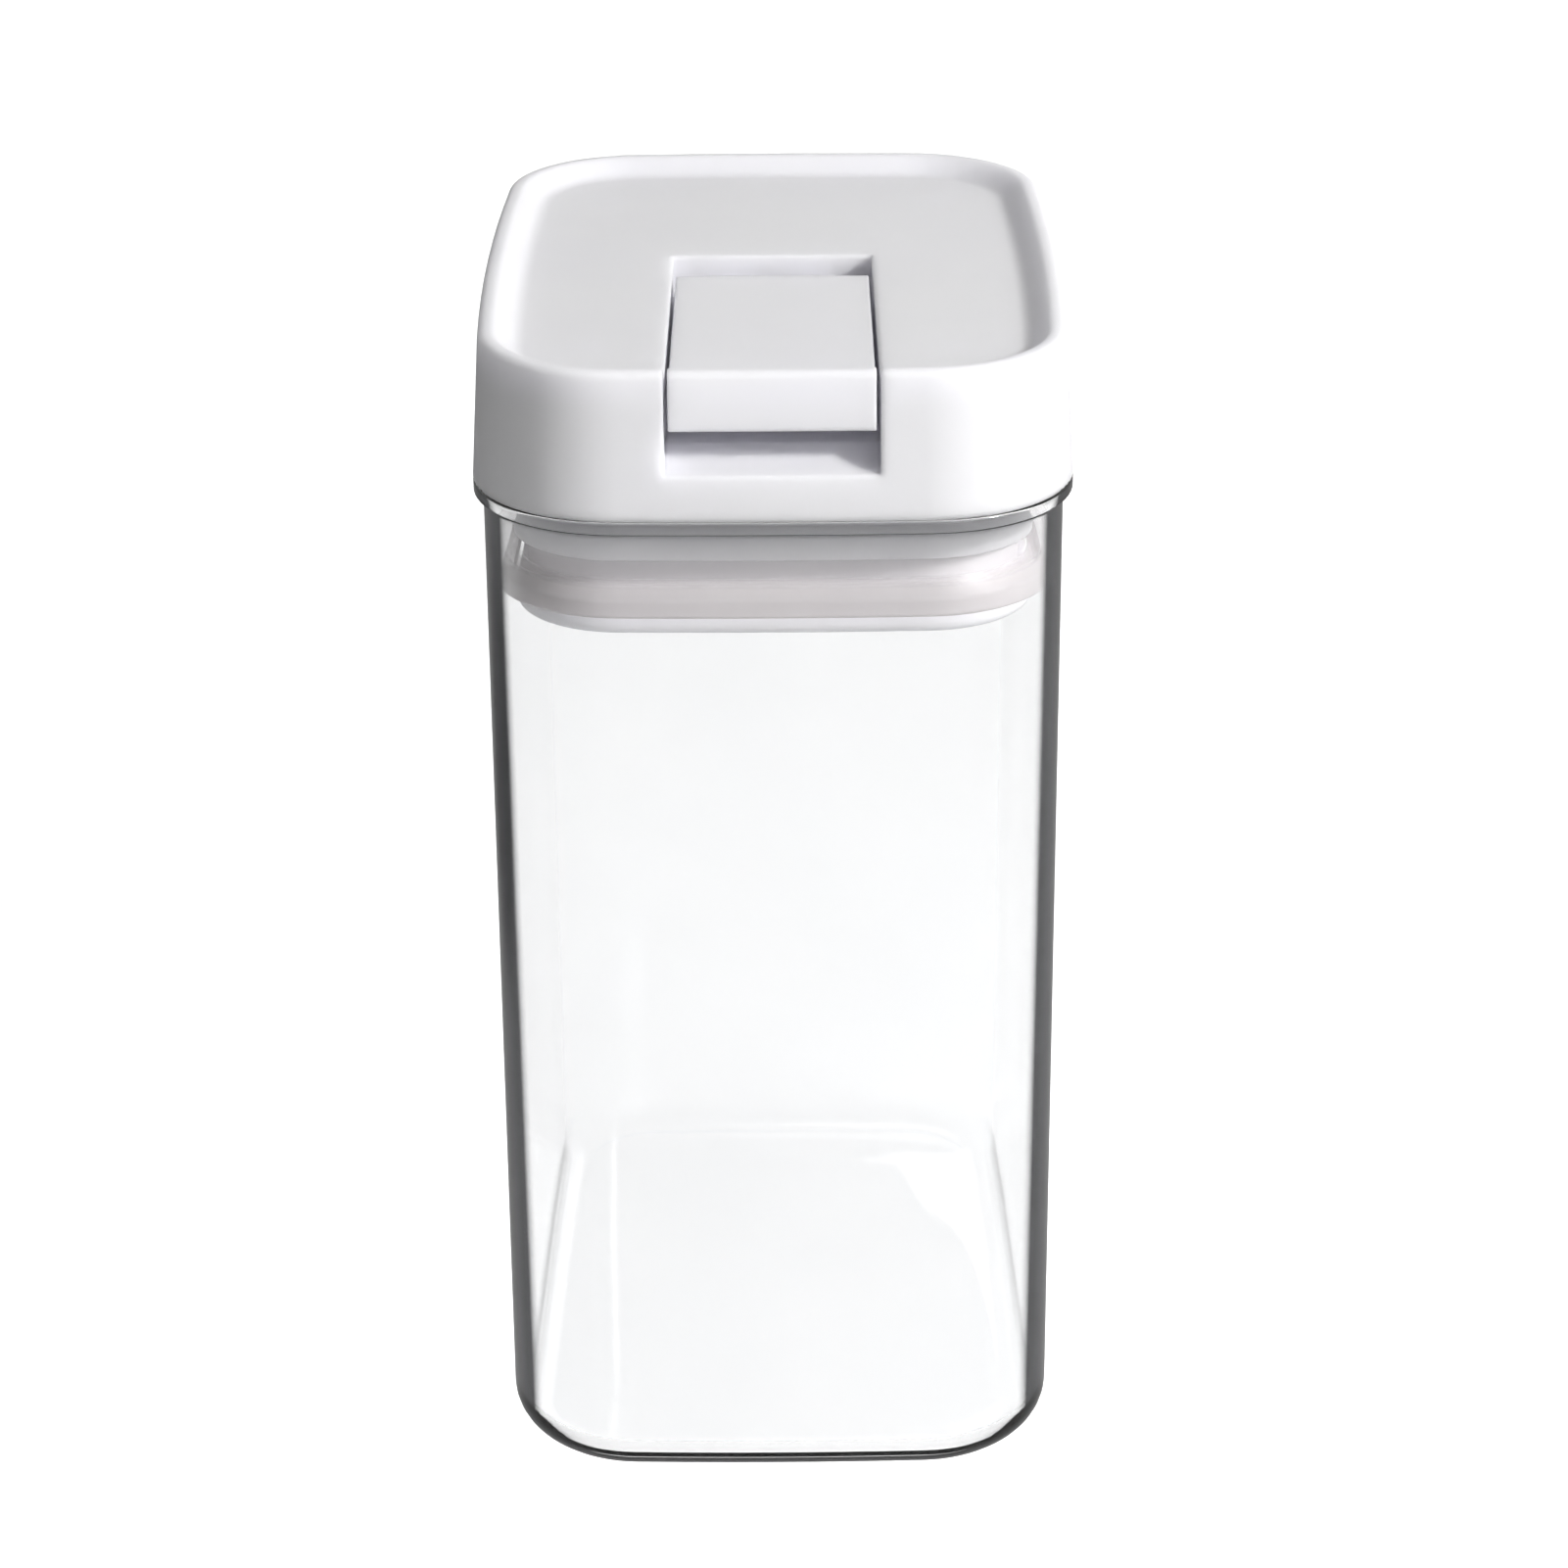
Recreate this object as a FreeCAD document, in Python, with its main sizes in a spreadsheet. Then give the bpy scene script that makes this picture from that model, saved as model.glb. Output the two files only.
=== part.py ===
# Flip-lever kitchen keeper: a clear canister and a white lid whose lever squeezes a silicone gasket.
# Frame: origin under the middle of the base, +Z up, the lever's tip at the front on -Y. Millimetres.
import FreeCAD, Part
import math
import os
import re
import Sketcher

os.makedirs("parts", exist_ok=True)
doc = FreeCAD.newDocument("FlipLeverKeeper")

# Driving dimensions, one table for the sheet
SIZES = {
    # Outline shared by the canister's flange and the foot of the cap
    "keeper_width": 102.0,
    "keeper_depth": 137.0,
    "corner_radius": 25.0,
    "side_bow_radius": 900.0,
    "front_bow_radius": 800.0,
    # Canister
    "canister_height": 181.0,
    "wall_thickness": 2.2,
    "wall_lean": 0.3,
    "floor_thickness": 3.4,
    "base_round": 7.6,
    "floor_round": 5.4,
    "flange_proud": 1.6,
    "flange_height": 2.2,
    "flange_land": 0.2,
    "flange_blend": 1.4,
    "flange_round": 0.5,
    # Lid cap
    "cap_lean": 1.5,
    "cap_wall": 2.4,
    "cap_roof": 2.4,
    "cap_top_round": 1.2,
    "cap_foot_round": 0.4,
    "rim_width": 2.5,
    "rim_round": 0.7,
    "dish_slope": 4.0,
    "dish_depth": 3.0,
    "dish_round": 3.0,
    # Lever recess in the cap, set off from the lever and its cam
    "lever_gap": 0.7,
    "tail_gap": 0.6,
    "channel_depth": 14.0,
    "well_gap": 0.7,
    "well_floor": 1.4,
    "scoop_depth": 17.4,
    "scoop_radius": 14.5,
    "scoop_overhang": 1.5,
    "trough_wall": 2.0,
    # Flip lever
    "lever_width": 33.4,
    "lever_thickness": 2.8,
    "lever_sink": 0.2,
    "tail_setback": 3.2,
    "lever_setback": 0.1,
    "flap_drop": 10.0,
    "flap_thickness": 2.4,
    "bend_round": 1.2,
    "rise_round": 2.4,
    "crest_round": 0.7,
    "tail_round": 0.4,
    "lip_round": 0.8,
    "lever_round": 0.35,
    # Cam under the lever, heights from the pin to the wear plate with the lever down and up
    "cam_high": 10.2,
    "cam_low": 7.2,
    "cam_width": 22.0,
    "cam_root": 0.8,
    "cam_clearance": 0.1,
    # Lever pin
    "pin_depth": 10.6,
    "pin_diameter": 2.8,
    "pin_fit": 0.03,
    "pin_end_gap": 0.2,
    "pin_chamfer": 0.3,
    # Pull rod
    "rod_diameter": 8.0,
    "rod_fit": 0.08,
    "rod_clearance": 0.4,
    "eye_radius": 2.7,
    "eye_land": 0.11,
    "eye_fit": 0.05,
    "eye_clearance": 0.4,
    "shoulder_gap": 0.3,
    # Cam wear plate
    "wear_margin": 1.5,
    "wear_gap": 1.0,
    "wear_thickness": 1.0,
    "wear_corner": 2.0,
    # Inner lid
    "plug_gap": 0.4,
    "seat_gap": 0.3,
    "seat_thickness": 1.5,
    "plug_roof": 2.0,
    "neck_gap": 2.8,
    "skirt_step": 2.2,
    "skirt_wall": 2.0,
    "skirt_clearance": 0.4,
    "sleeve_wall": 0.8,
    "sleeve_length": 8.8,
    # Gasket
    "gasket_drop": 8.6,
    "gasket_height": 9.4,
    "gasket_lip": 3.2,
    "gasket_clearance": 0.3,
    "gasket_grip": 0.2,
    # Ring round the rod
    "ring_section": 2.0,
    "ring_rise": 3.0,
    "ring_groove_gap": 0.1,
    # Seal plate
    "plate_thickness": 3.9,
    "plate_gap": 2.9,
    "plate_round": 2.0,
    "hub_wall": 2.5,
    "hub_height": 5.0,
    # Guide posts on the seal plate and their sockets in the inner lid
    "post_diameter": 6.0,
    "post_length": 13.0,
    "post_spacing": 52.0,
    "post_clearance": 0.3,
    "socket_diameter": 10.0,
    "socket_length": 14.8,
    # Rod screw, washer and cover
    "rod_screw_diameter": 3.5,
    "rod_screw_bite": 10.0,
    "rod_screw_head": 7.0,
    "rod_screw_head_height": 2.4,
    "washer_diameter": 9.0,
    "washer_thickness": 0.8,
    "washer_clearance": 1.0,
    "cover_thickness": 1.6,
    "cover_gap": 0.2,
    "cover_fit": 0.05,
    "cover_round": 0.4,
    # Lid screws and their bosses in the cap, set in from the outline
    "screw_inset_across": 21.0,
    "screw_inset_along": 24.5,
    "lid_screw_diameter": 3.0,
    "lid_screw_bite": 8.0,
    "lid_screw_head": 6.0,
    "lid_screw_head_height": 2.0,
    "boss_diameter": 7.5,
    "boss_bore_gap": 1.0,
    "driver_slot_width": 1.0,
    "driver_slot_depth": 1.1,
    "screw_clearance": 0.15,
    "thread_fit": 0.05,
    # How far a cut runs past the face it opens
    "overrun": 1.0,
}

# Levels, insets and fits as formulas of the sizes, the lid stacked up from the canister's mouth
SEAT_Z = "(canister_height + seat_gap)"
PLUG_TOP_Z = f"({SEAT_Z} + seat_thickness)"
PLUG_ROOF_Z = f"({PLUG_TOP_Z} - plug_roof)"
WELL_Z = f"({PLUG_TOP_Z} + well_floor)"
WEAR_Z = f"({WELL_Z} + wear_thickness)"
PIN_Z = f"({WEAR_Z} + cam_high)"
RIM_Z = f"({PIN_Z} + pin_depth)"
DISH_Z = f"({RIM_Z} - dish_depth)"
LEVER_Z = f"({DISH_Z} - lever_sink)"
CHANNEL_Z = f"({RIM_Z} - channel_depth)"
NECK_BASE_Z = "(canister_height - gasket_drop)"
PLATE_TOP_Z = f"({NECK_BASE_Z} - gasket_height)"
PLATE_BASE_Z = f"({PLATE_TOP_Z} - plate_thickness)"
HUB_TOP_Z = f"({PLATE_TOP_Z} + hub_height)"
POCKET_DEPTH = "(cover_thickness + cover_gap + rod_screw_head_height + washer_thickness)"
POCKET_ROOF_Z = f"({PLATE_BASE_Z} + {POCKET_DEPTH})"
POCKET_RADIUS = "(washer_diameter / 2 + washer_clearance)"
SKIRT_BASE_Z = f"({PLATE_TOP_Z} + skirt_clearance)"
WALL_INSET = "(flange_proud + wall_thickness)"
NECK_INSET = f"({WALL_INSET} + neck_gap)"
SKIRT_INSET = f"({NECK_INSET} + skirt_step)"
CAP_HEIGHT = f"({RIM_Z} - canister_height)"
CAP_FRONT = "(keeper_depth / 2 - cap_lean)"
HOLLOW_HEIGHT = f"({CAP_HEIGHT} - dish_depth - cap_roof)"
CAM_RADIUS = "((cam_high + cam_low) / 2)"
CAM_THROW = "((cam_high - cam_low) / 2)"
RECESS_WIDTH = "(lever_width + 2 * lever_gap)"
RECESS_BACK = "(max(pin_depth - dish_depth; cam_low) + tail_gap)"
WELL_FRONT = f"({CAM_RADIUS} + sqrt(2) * {CAM_THROW} + well_gap)"
SLOT_HALF = "(eye_radius + eye_clearance)"
EYE_WIDTH = "(2 * sqrt((rod_diameter / 2 - eye_land)^2 - eye_radius^2))"

NEARLY_ZERO = 1e-4

sheet = doc.addObject("Spreadsheet::Sheet", "Sizes")
for row, (alias, length) in enumerate(SIZES.items(), start=1):
    sheet.set(f"A{row}", alias)
    sheet.set(f"B{row}", str(length))
    sheet.setAlias(f"B{row}", alias)
doc.recompute()


# Formulas


def in_sheet(formula):
    """The formula with every size read from the sheet."""
    return re.sub(r"[a-z_]+", lambda word: f"Sizes.{word[0]}" if word[0] in SIZES else word[0], formula)


def size(formula):
    return float(sheet.evalExpression(in_sheet(formula)))


def bind(thing, name, formula):
    thing.setExpression(name, in_sheet(formula))


# Sketches


def new_sketch(body, name, role, level="0"):
    sketch = body.newObject("Sketcher::SketchObject", name)
    plane = next(feature for feature in body.Origin.OriginFeatures if feature.Role == role)
    sketch.AttachmentSupport = [(plane, "")]
    sketch.MapMode = "FlatFace"
    bind(sketch, "AttachmentOffset.Base.z", level)
    return sketch


def drive(sketch, constraint, formula):
    index = sketch.addConstraint(constraint)
    bind(sketch, f"Constraints[{index}]", formula)


def hold(sketch, shape, point, across, up):
    """Hold one point of a sketch at two formulas; a leading minus puts it on the far side of zero."""
    for kind, axis, formula in (("DistanceX", -2, across), ("DistanceY", -1, up)):
        if formula == "0":
            sketch.addConstraint(Sketcher.Constraint("PointOnObject", shape, point, axis))
        elif formula.startswith("-"):
            far = formula[1:]
            drive(sketch, Sketcher.Constraint(kind, shape, point, -1, 1, size(far)), far)
        else:
            drive(sketch, Sketcher.Constraint(kind, -1, 1, shape, point, size(formula)), formula)


def polygon(body, name, role, corners, level="0"):
    """Closed straight-sided profile through corners given as pairs of formulas."""
    sketch = new_sketch(body, name, role, level)
    points = [FreeCAD.Vector(size(across), size(up), 0) for across, up in corners]
    count = len(points)
    for index in range(count):
        sketch.addGeometry(Part.LineSegment(points[index], points[(index + 1) % count]), False)
    for index in range(count):
        following = (index + 1) % count
        sketch.addConstraint(Sketcher.Constraint("Coincident", index, 2, following, 1))
    for index, (across, up) in enumerate(corners):
        hold(sketch, index, 1, across, up)
    return sketch


def circles(body, name, role, centres, radius, level="0"):
    """Equal circles at centres given as pairs of formulas."""
    sketch = new_sketch(body, name, role, level)
    upright = FreeCAD.Vector(0, 0, 1)
    for index, (across, up) in enumerate(centres):
        middle = FreeCAD.Vector(size(across), size(up), 0)
        sketch.addGeometry(Part.Circle(middle, upright, size(radius)), False)
        hold(sketch, index, 3, across, up)
        drive(sketch, Sketcher.Constraint("Radius", index, size(radius)), radius)
    return sketch


def corner_centre():
    """Where a corner's arc is centred, so that it runs smoothly into the bowed side and front."""
    side_x = size("keeper_width / 2 - side_bow_radius")
    front_y = size("keeper_depth / 2 - front_bow_radius")
    side_reach = size("side_bow_radius - corner_radius")
    front_reach = size("front_bow_radius - corner_radius")
    apart = math.hypot(side_x, front_y)
    along = (apart**2 + side_reach**2 - front_reach**2) / (2 * apart)
    aside = math.sqrt(side_reach**2 - along**2)
    return (
        side_x - (along * side_x + aside * front_y) / apart,
        (along * front_y - aside * side_x) / apart,
    )


def outline(body, name, level, inset):
    """The keeper's rounded outline at one level, set in all round from the flange's edge."""
    sketch = new_sketch(body, name, "XY_Plane", level)
    corner_x, corner_y = corner_centre()
    side_x = size("keeper_width / 2 - side_bow_radius")
    back_y = size("keeper_depth / 2 - front_bow_radius")
    side_turn = math.atan2(corner_y, corner_x - side_x)
    back_turn = math.atan2(corner_y - back_y, corner_x)
    side = f"side_bow_radius - {inset}"
    front = f"front_bow_radius - {inset}"
    corner = f"corner_radius - {inset}"
    half = math.pi
    arcs = (
        (side_x, 0, side, -side_turn, side_turn),
        (corner_x, corner_y, corner, side_turn, back_turn),
        (0, back_y, front, back_turn, half - back_turn),
        (-corner_x, corner_y, corner, half - back_turn, half - side_turn),
        (-side_x, 0, side, half - side_turn, half + side_turn),
        (-corner_x, -corner_y, corner, half + side_turn, half + back_turn),
        (0, -back_y, front, half + back_turn, 2 * half - back_turn),
        (corner_x, -corner_y, corner, 2 * half - back_turn, 2 * half - side_turn),
    )
    upright = FreeCAD.Vector(0, 0, 1)
    for x, y, radius, start, end in arcs:
        circle = Part.Circle(FreeCAD.Vector(x, y, 0), upright, size(radius))
        sketch.addGeometry(Part.ArcOfCircle(circle, start, end), False)
    for index in range(len(arcs)):
        following = (index + 1) % len(arcs)
        sketch.addConstraint(Sketcher.Constraint("Tangent", index, 2, following, 1))
    right, back, left, fore = 0, 2, 4, 6
    hold(sketch, right, 3, "-(side_bow_radius - keeper_width / 2)", "0")
    hold(sketch, left, 3, "side_bow_radius - keeper_width / 2", "0")
    hold(sketch, back, 3, "0", "-(front_bow_radius - keeper_depth / 2)")
    hold(sketch, fore, 3, "0", "front_bow_radius - keeper_depth / 2")
    for first, alike in ((right, (left,)), (back, (fore,)), (1, (3, 5, 7))):
        formula = arcs[first][2]
        drive(sketch, Sketcher.Constraint("Radius", first, size(formula)), formula)
        for other in alike:
            sketch.addConstraint(Sketcher.Constraint("Equal", first, other))
    return sketch


# Features


def extrude(kind, body, name, sketch, length, lean="0", flip=False, both_ways=False):
    """Pad or Pocket; lean is how far the sides move outwards over the length."""
    before = body.Tip
    feature = body.newObject(f"PartDesign::{kind}", name)
    feature.Profile = sketch
    bind(feature, "Length", length)
    if lean != "0":
        bind(feature, "TaperAngle", f"atan(({lean}) / ({length}))")
    feature.Reversed = flip
    feature.SideType = "Symmetric" if both_ways else "One side"
    doc.recompute()
    gained = feature.Shape.Volume - (before.Shape.Volume if before else 0)
    if (gained > 0) != (kind == "Pad"):
        raise RuntimeError(f"{name} works the wrong way")
    return feature


def pad(body, name, sketch, length, **how):
    return extrude("Pad", body, name, sketch, length, **how)


def pocket(body, name, sketch, length, **how):
    return extrude("Pocket", body, name, sketch, length, **how)


def at_level(formula):
    """Tells edges that lie flat at one height."""
    level = size(formula)

    def chosen(edge):
        box = edge.BoundBox
        return abs(box.ZMin - level) < NEARLY_ZERO and abs(box.ZMax - level) < NEARLY_ZERO

    return chosen


def middle_of(edge):
    return edge.valueAt((edge.FirstParameter + edge.LastParameter) / 2)


def on_outline(sketch):
    """Tells edges whose middle lies on a sketch."""
    drawn = sketch.Shape

    def chosen(edge):
        return drawn.distToShape(Part.Vertex(middle_of(edge)))[0] < NEARLY_ZERO

    return chosen


def ends_aside(edge, width):
    """How far the edge's ends lie from the two upright planes that a width sets apart."""
    return max(abs(abs(vertex.X) - size(width) / 2) for vertex in edge.Vertexes)


def along_x(across, up):
    """Tells the edge that runs along X through one place of the side view."""
    y, z = size(across), size(up)

    def chosen(edge):
        ends = [vertex.Point for vertex in edge.Vertexes]
        return all(math.hypot(end.y - y, end.z - z) < NEARLY_ZERO for end in ends)

    return chosen


def rounded(body, name, radius, chosen):
    base = body.Tip
    names = [f"Edge{number}" for number, edge in enumerate(base.Shape.Edges, start=1) if chosen(edge)]
    fillet = body.newObject("PartDesign::Fillet", name)
    fillet.Base = (base, names)
    bind(fillet, "Radius", radius)
    doc.recompute()
    return fillet


def new_body(label):
    body = doc.addObject("PartDesign::Body", label)
    body.Label = label
    return body


def cylinder(name, radius, height, base):
    """Upright Part cylinder with its base at a level."""
    solid = doc.addObject("Part::Cylinder", name)
    bind(solid, "Radius", radius)
    bind(solid, "Height", height)
    bind(solid, "Placement.Base.z", base)
    return solid


def combined(kind, name, base, tool):
    result = doc.addObject(f"Part::{kind}", name)
    result.Base = base
    result.Tool = tool
    return result


# Canister


def canister():
    body = new_body("canister")
    foot_inset = "(flange_proud + wall_lean)"
    wall = outline(body, "CanisterFoot", "0", foot_inset)
    pad(body, "CanisterWall", wall, "canister_height", lean="wall_lean")
    rounded(body, "CanisterBaseRound", "base_round", at_level("0"))
    under_flange = "(canister_height - flange_height)"
    flange = outline(body, "FlangeOutline", under_flange, "0")
    pad(body, "Flange", flange, "flange_height")
    level = at_level(under_flange)
    on_flange = on_outline(flange)
    blend = "min(flange_blend; flange_proud - flange_land)"
    rounded(body, "FlangeBlend", blend, lambda edge: level(edge) and not on_flange(edge))
    rounded(body, "FlangeTopRound", "flange_round", at_level("canister_height"))
    mouth = outline(body, "MouthOutline", "canister_height", WALL_INSET)
    depth = "(canister_height - floor_thickness)"
    pocket(body, "Inside", mouth, depth, lean=f"-wall_lean * {depth} / canister_height")
    rounded(body, "InsideFloorRound", "floor_round", at_level("floor_thickness"))
    return body


# Lid cap


def screw_places():
    return [
        (f"{across}(keeper_width / 2 - screw_inset_across)", f"{along}(keeper_depth / 2 - screw_inset_along)")
        for across in ("", "-")
        for along in ("", "-")
    ]


def trough_profile():
    """Side view of the trough that carries the lever recess under the cap's roof."""
    back = f"{RECESS_BACK} + trough_wall"
    well_end = f"-({WELL_FRONT} + trough_wall)"
    scoop_start = "-(keeper_depth / 2 + scoop_overhang - scoop_radius - trough_wall)"
    front = f"-({CAP_FRONT} - cap_wall / 2)"
    top = f"{DISH_Z} - cap_roof / 2"
    under_channel = f"{CHANNEL_Z} - trough_wall"
    under_scoop = f"{RIM_Z} - scoop_depth - trough_wall"
    return [
        (back, top),
        (back, PLUG_TOP_Z),
        (well_end, PLUG_TOP_Z),
        (well_end, under_channel),
        (scoop_start, under_channel),
        (scoop_start, under_scoop),
        (front, under_scoop),
        (front, top),
    ]


def recess_profile():
    """Side view of the room for the lever: a deep well round the cam, then a shallow channel."""
    top = f"{RIM_Z} + overrun"
    front = "-(keeper_depth / 2 + overrun)"
    return [
        (RECESS_BACK, top),
        (RECESS_BACK, WELL_Z),
        (f"-{WELL_FRONT}", WELL_Z),
        (f"-{WELL_FRONT}", CHANNEL_Z),
        (front, CHANNEL_Z),
        (front, top),
    ]


def lid_cap():
    body = new_body("lid_cap")
    shell = outline(body, "CapFoot", "canister_height", "0")
    pad(body, "CapShell", shell, CAP_HEIGHT, lean="-cap_lean")
    rounded(body, "CapTopRound", "cap_top_round", at_level(RIM_Z))
    rounded(body, "CapFootRound", "cap_foot_round", at_level("canister_height"))
    hollow = outline(body, "HollowOutline", "canister_height", "cap_wall")
    lean = f"-cap_lean * {HOLLOW_HEIGHT} / {CAP_HEIGHT}"
    pocket(body, "CapHollow", hollow, HOLLOW_HEIGHT, lean=lean, flip=True)
    trough = polygon(body, "TroughProfile", "YZ_Plane", trough_profile())
    pad(body, "Trough", trough, f"{RECESS_WIDTH} + 2 * trough_wall", both_ways=True)
    boss_height = f"{DISH_Z} - cap_roof / 2 - {PLUG_TOP_Z}"
    bosses = circles(body, "BossCircles", "XY_Plane", screw_places(), "boss_diameter / 2", PLUG_TOP_Z)
    pad(body, "Bosses", bosses, boss_height)
    dish = outline(body, "DishOutline", RIM_Z, "(cap_lean + rim_width)")
    pocket(body, "Dish", dish, "dish_depth", lean="-dish_slope")
    rounded(body, "DishRound", "dish_round", at_level(DISH_Z))
    rounded(body, "RimRound", "rim_round", on_outline(dish))
    recess = polygon(body, "RecessProfile", "YZ_Plane", recess_profile())
    pocket(body, "Recess", recess, RECESS_WIDTH, both_ways=True)
    scoop_centre = [("-(keeper_depth / 2 + scoop_overhang)", f"{RIM_Z} - scoop_depth + scoop_radius")]
    scoop = circles(body, "ScoopCircle", "YZ_Plane", scoop_centre, "scoop_radius")
    pocket(body, "FingerScoop", scoop, RECESS_WIDTH, both_ways=True)
    bore_radius = "lid_screw_diameter / 2 + thread_fit"
    bores = circles(body, "BossBoreCircles", "XY_Plane", screw_places(), bore_radius, PLUG_TOP_Z)
    pocket(body, "BossBores", bores, "lid_screw_bite + boss_bore_gap", flip=True)
    hole_radius = "rod_diameter / 2 + rod_clearance"
    rod_hole = circles(body, "CapRodCircle", "XY_Plane", [("0", "0")], hole_radius, WELL_Z)
    pocket(body, "CapRodHole", rod_hole, "well_floor")
    return body


# Inner lid


def post_places():
    return [("post_spacing / 2", "0"), ("-post_spacing / 2", "0")]


def inner_lid():
    body = new_body("inner_lid")
    seat = outline(body, "SeatOutline", SEAT_Z, "(cap_wall + plug_gap)")
    pad(body, "Seat", seat, "seat_thickness")
    neck = outline(body, "NeckOutline", NECK_BASE_Z, NECK_INSET)
    pad(body, "Neck", neck, f"{SEAT_Z} - {NECK_BASE_Z}")
    skirt = outline(body, "SkirtOutline", SKIRT_BASE_Z, SKIRT_INSET)
    pad(body, "Skirt", skirt, f"{NECK_BASE_Z} - {SKIRT_BASE_Z}")
    room = outline(body, "PlugRoomOutline", SKIRT_BASE_Z, f"({SKIRT_INSET} + skirt_wall)")
    pocket(body, "PlugRoom", room, f"{PLUG_ROOF_Z} - {SKIRT_BASE_Z}", flip=True)
    sleeve_z = f"({PLUG_ROOF_Z} - sleeve_length)"
    sleeve_radius = "rod_diameter / 2 + rod_fit + ring_section + ring_groove_gap + sleeve_wall"
    sleeve = circles(body, "SleeveCircle", "XY_Plane", [("0", "0")], sleeve_radius, sleeve_z)
    pad(body, "Sleeve", sleeve, "sleeve_length + plug_roof / 2")
    socket_z = f"({PLUG_ROOF_Z} - socket_length)"
    sockets = circles(body, "SocketCircles", "XY_Plane", post_places(), "socket_diameter / 2", socket_z)
    pad(body, "Sockets", sockets, "socket_length + plug_roof / 2")
    post_bore = "post_diameter / 2 + post_clearance"
    bores = circles(body, "SocketBoreCircles", "XY_Plane", post_places(), post_bore, socket_z)
    pocket(body, "SocketBores", bores, "socket_length", flip=True)
    bore_radius = "rod_diameter / 2 + rod_fit"
    rod_bore = circles(body, "PlugRodCircle", "XY_Plane", [("0", "0")], bore_radius, sleeve_z)
    pocket(body, "PlugRodBore", rod_bore, "sleeve_length + plug_roof + overrun", flip=True)
    screw_hole = "lid_screw_diameter / 2 + screw_clearance"
    holes = circles(body, "PlugScrewCircles", "XY_Plane", screw_places(), screw_hole, PLUG_ROOF_Z)
    pocket(body, "PlugScrewHoles", holes, "plug_roof + overrun", flip=True)
    ring_groove(body, sleeve_z)
    return body


def ring_groove(body, sleeve_z):
    """Square groove inside the sleeve for the ring that seals the rod."""
    inner = "rod_diameter / 2"
    outer = "rod_diameter / 2 + rod_fit + ring_section + ring_groove_gap"
    half = "(ring_section / 2 + ring_groove_gap)"
    middle = f"{sleeve_z} + ring_rise"
    corners = [
        (inner, f"{middle} - {half}"),
        (outer, f"{middle} - {half}"),
        (outer, f"{middle} + {half}"),
        (inner, f"{middle} + {half}"),
    ]
    before = body.Tip.Shape.Volume
    section = polygon(body, "RingGrooveSection", "XZ_Plane", corners)
    groove = body.newObject("PartDesign::Groove", "RingGroove")
    groove.Profile = section
    groove.ReferenceAxis = (section, ["V_Axis"])
    doc.recompute()
    if groove.Shape.Volume >= before:
        raise RuntimeError("RingGroove works the wrong way")


def rod_ring():
    ring = doc.addObject("Part::Torus", "rod_ring")
    bind(ring, "Radius1", "rod_diameter / 2 + rod_fit + ring_section / 2")
    bind(ring, "Radius2", "ring_section / 2")
    bind(ring, "Placement.Base.z", f"{PLUG_ROOF_Z} - sleeve_length + ring_rise")
    return ring


# Gasket


def gasket():
    body = new_body("gasket")
    lip_inset = f"({WALL_INSET} + gasket_clearance)"
    lip = outline(body, "GasketLipOutline", PLATE_TOP_Z, lip_inset)
    pad(body, "GasketLip", lip, "gasket_lip")
    flare = outline(body, "GasketFlareOutline", f"({PLATE_TOP_Z} + gasket_lip)", lip_inset)
    pad(body, "GasketFlare", flare, "gasket_height - gasket_lip", lean=f"{lip_inset} - {NECK_INSET}")
    opening = outline(body, "GasketInsideOutline", PLATE_TOP_Z, f"({SKIRT_INSET} - gasket_grip)")
    pocket(body, "GasketInside", opening, "gasket_height + overrun", flip=True)
    return body


# Seal plate with its hub and guide posts


def seal_plate():
    body = new_body("seal_plate")
    plate = outline(body, "PlateOutline", PLATE_BASE_Z, f"({WALL_INSET} + plate_gap)")
    pad(body, "Plate", plate, "plate_thickness")
    rounded(body, "PlateRound", "plate_round", at_level(PLATE_BASE_Z))
    hub = circles(body, "HubCircle", "XY_Plane", [("0", "0")], f"{POCKET_RADIUS} + hub_wall", PLATE_TOP_Z)
    pad(body, "Hub", hub, "hub_height")
    posts = circles(body, "PostCircles", "XY_Plane", post_places(), "post_diameter / 2", PLATE_TOP_Z)
    pad(body, "Posts", posts, "post_length")
    room = circles(body, "ScrewRoomCircle", "XY_Plane", [("0", "0")], POCKET_RADIUS, PLATE_BASE_Z)
    pocket(body, "ScrewRoom", room, POCKET_DEPTH, flip=True)
    hole_radius = "rod_screw_diameter / 2 + screw_clearance"
    hole = circles(body, "HubHoleCircle", "XY_Plane", [("0", "0")], hole_radius, HUB_TOP_Z)
    pocket(body, "HubHole", hole, f"{HUB_TOP_Z} - {POCKET_ROOF_Z} + overrun")
    return body


# Pull rod with its eye


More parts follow.
